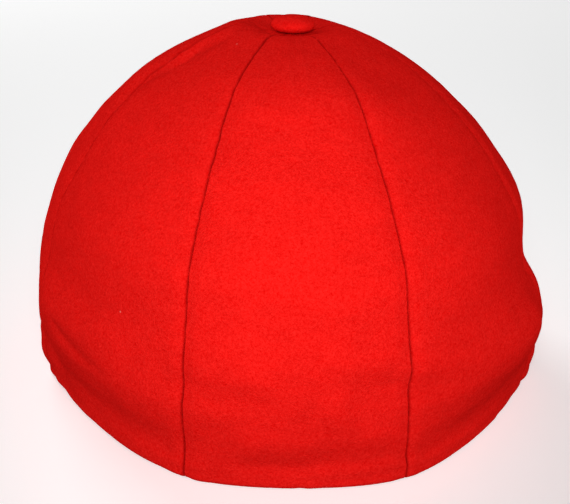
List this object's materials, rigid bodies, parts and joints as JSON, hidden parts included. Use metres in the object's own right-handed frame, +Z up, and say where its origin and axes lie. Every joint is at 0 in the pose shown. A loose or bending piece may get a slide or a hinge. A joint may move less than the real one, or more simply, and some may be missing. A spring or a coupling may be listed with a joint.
{
  "type": "school cap",
  "caption": "Soft rounded wool cap sewn from tapered panels, with a cloth-covered button on top and a short peak, resting on its rim.",
  "frame": {"origin": "middle of the cap's footprint, on the surface that its rim rests on", "axes": "+Z up; -Y the way the peak points, +X the wearer's left"},
  "size_m": [0.1852, 0.2472, 0.1293],
  "materials": {
    "crown_wool": "matt red wool melton",
    "button_wool": "matt red wool melton",
    "peak_wool": "matt red wool melton over a stiff board"
  },
  "bodies": {
    "root": {"crown_panel_back": "crown_wool", "crown_panel_back_left": "crown_wool", "crown_panel_left": "crown_wool", "crown_panel_front_left": "crown_wool", "crown_panel_front": "crown_wool", "crown_panel_front_right": "crown_wool", "crown_panel_right": "crown_wool", "crown_panel_back_right": "crown_wool", "crown_button": "button_wool", "peak": "peak_wool"}
  },
  "joints": []
}
